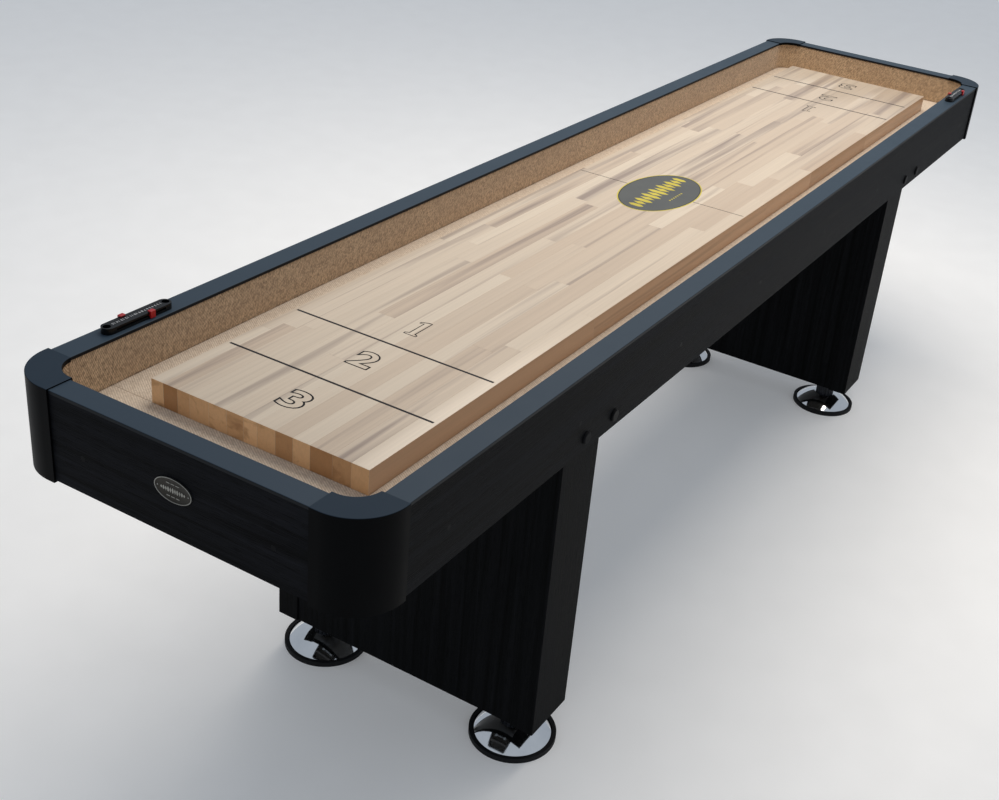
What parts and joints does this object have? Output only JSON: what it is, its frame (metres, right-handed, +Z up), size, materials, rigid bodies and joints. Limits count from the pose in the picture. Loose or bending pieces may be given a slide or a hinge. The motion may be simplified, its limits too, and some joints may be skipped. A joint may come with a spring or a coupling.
{
  "type": "shuffleboard table",
  "caption": "Long indoor shuffleboard table: raised maple playfield in a carpeted gutter, black cabinet with curved corners, pedestal legs, chrome leveling feet and rail scorers.",
  "frame": {"origin": "on the floor under the middle of the table", "axes": "+X along the table towards the far end, +Y across it to the left side, +Z up"},
  "size_m": [2.7492, 0.6176, 0.7997],
  "materials": {
    "woodgrain_laminate": "black wood-grain laminate, satin",
    "corner_plastic": "moulded black plastic, satin",
    "rail_laminate": "black laminate, satin",
    "wall_carpet": "coarse woven carpet, brown",
    "floor_carpet": "short pile carpet, tan",
    "maple": "laminated maple under clear polymer",
    "deck_board": "fibre board sealed with thin black paint",
    "plain_wood": "black-stained pine",
    "zinc_steel": "zinc plated",
    "leg_laminate": "black laminate, satin",
    "black_steel": "black oxide",
    "black_abs": "moulded black plastic",
    "red_abs": "moulded red plastic",
    "pewter": "cast and polished",
    "foot_rubber": "moulded black rubber",
    "chrome": "mirror chrome",
    "knob_steel": "dark grey, fluted"
  },
  "bodies": {
    "table": {"adjuster_brackets_and_studs": "zinc_steel", "corner_casting_far_left": "corner_plastic", "corner_casting_far_right": "corner_plastic", "corner_casting_near_left": "corner_plastic", "corner_casting_near_right": "corner_plastic", "corner_screws": "black_steel", "deck_board": "deck_board", "deck_braces": "plain_wood", "deck_screws": "black_steel", "end_apron_far": "woodgrain_laminate", "end_apron_near": "woodgrain_laminate", "end_carpet_far": "floor_carpet", "end_carpet_near": "floor_carpet", "end_liner_far": "wall_carpet", "end_liner_near": "wall_carpet", "end_rail_far": "rail_laminate", "end_rail_near": "rail_laminate", "leg_bolt_inserts": "zinc_steel", "leg_bolts": "black_steel", "leg_foot_board_far": "plain_wood", "leg_foot_board_near": "plain_wood", "leg_panels_far": "leg_laminate", "leg_panels_near": "leg_laminate", "leg_post_far_left": "leg_laminate", "leg_post_far_right": "leg_laminate", "leg_post_near_left": "leg_laminate", "leg_post_near_right": "leg_laminate", "leveler_sockets": "zinc_steel", "plaque": "pewter", "playfield": "maple", "scorer_body_far_right": "black_abs", "scorer_body_near_left": "black_abs", "scorer_screws": "black_steel", "side_apron_left": "woodgrain_laminate", "side_apron_right": "woodgrain_laminate", "side_carpet_left": "floor_carpet", "side_carpet_right": "floor_carpet", "side_liner_left": "wall_carpet", "side_liner_right": "wall_carpet", "side_rail_left": "rail_laminate", "side_rail_right": "rail_laminate"},
    "foot_near_left": {"leveler_disc_near_left": "chrome", "leveler_pad_near_left": "foot_rubber"},
    "stud_near_left": {"leveler_stud_near_left": "knob_steel"},
    "foot_near_right": {"leveler_disc_near_right": "chrome", "leveler_pad_near_right": "foot_rubber"},
    "stud_near_right": {"leveler_stud_near_right": "knob_steel"},
    "foot_far_left": {"leveler_disc_far_left": "chrome", "leveler_pad_far_left": "foot_rubber"},
    "stud_far_left": {"leveler_stud_far_left": "knob_steel"},
    "foot_far_right": {"leveler_disc_far_right": "chrome", "leveler_pad_far_right": "foot_rubber"},
    "stud_far_right": {"leveler_stud_far_right": "knob_steel"},
    "slider_near_outer": {"score_slider_near_outer": "red_abs"},
    "slider_near_inner": {"score_slider_near_inner": "red_abs"},
    "slider_far_outer": {"score_slider_far_outer": "red_abs"},
    "slider_far_inner": {"score_slider_far_inner": "red_abs"},
    "turnbuckle_near": {"adjuster_turnbuckle_near": "zinc_steel"},
    "turnbuckle_middle": {"adjuster_turnbuckle_middle": "zinc_steel"},
    "turnbuckle_far": {"adjuster_turnbuckle_far": "zinc_steel"}
  },
  "joints": [
    {"name": "level_near_left", "type": "slide", "parent": "table", "child": "foot_near_left", "axis": [0, 0, -1], "range_m": [-0.006, 0.02]},
    {"name": "turn_near_left", "type": "hinge", "parent": "foot_near_left", "child": "stud_near_left", "pos_m": [-0.78995, 0.2105, 0.05], "axis": [0, 0, 1], "range_deg": [-1296, 4217.1]},
    {"name": "level_near_right", "type": "slide", "parent": "table", "child": "foot_near_right", "axis": [0, 0, -1], "range_m": [-0.006, 0.02]},
    {"name": "turn_near_right", "type": "hinge", "parent": "foot_near_right", "child": "stud_near_right", "pos_m": [-0.78995, -0.2105, 0.05], "axis": [0, 0, 1], "range_deg": [-1296, 4217.1]},
    {"name": "level_far_left", "type": "slide", "parent": "table", "child": "foot_far_left", "axis": [0, 0, -1], "range_m": [-0.006, 0.02]},
    {"name": "turn_far_left", "type": "hinge", "parent": "foot_far_left", "child": "stud_far_left", "pos_m": [0.78995, 0.2105, 0.05], "axis": [0, 0, 1], "range_deg": [-1296, 4217.1]},
    {"name": "level_far_right", "type": "slide", "parent": "table", "child": "foot_far_right", "axis": [0, 0, -1], "range_m": [-0.006, 0.02]},
    {"name": "turn_far_right", "type": "hinge", "parent": "foot_far_right", "child": "stud_far_right", "pos_m": [0.78995, -0.2105, 0.05], "axis": [0, 0, 1], "range_deg": [-1296, 4217.1]},
    {"name": "score_near_outer", "type": "slide", "parent": "table", "child": "slider_near_outer", "axis": [1, 0, 0], "range_m": [-0.023, 0.062]},
    {"name": "score_near_inner", "type": "slide", "parent": "table", "child": "slider_near_inner", "axis": [1, 0, 0], "range_m": [-0.0617, 0.0233]},
    {"name": "score_far_outer", "type": "slide", "parent": "table", "child": "slider_far_outer", "axis": [-1, 0, 0], "range_m": [-0.0085, 0.0765]},
    {"name": "score_far_inner", "type": "slide", "parent": "table", "child": "slider_far_inner", "axis": [-1, 0, 0], "range_m": [-0.0605, 0.0245]},
    {"name": "adjust_near", "type": "hinge", "parent": "table", "child": "turnbuckle_near", "pos_m": [-0.9906, 0, 0.6719], "axis": [0, 1, 0], "range_deg": [-540, 540]},
    {"name": "adjust_middle", "type": "hinge", "parent": "table", "child": "turnbuckle_middle", "pos_m": [0, 0, 0.6719], "axis": [0, 1, 0], "range_deg": [-540, 540]},
    {"name": "adjust_far", "type": "hinge", "parent": "table", "child": "turnbuckle_far", "pos_m": [0.9906, 0, 0.6719], "axis": [0, 1, 0], "range_deg": [-540, 540]}
  ],
  "couplings": [
    {"joint": "turn_near_left", "follows": "level_near_left", "rad_per_m": 3590.4},
    {"joint": "turn_near_right", "follows": "level_near_right", "rad_per_m": 3590.4},
    {"joint": "turn_far_left", "follows": "level_far_left", "rad_per_m": 3590.4},
    {"joint": "turn_far_right", "follows": "level_far_right", "rad_per_m": 3590.4}
  ]
}
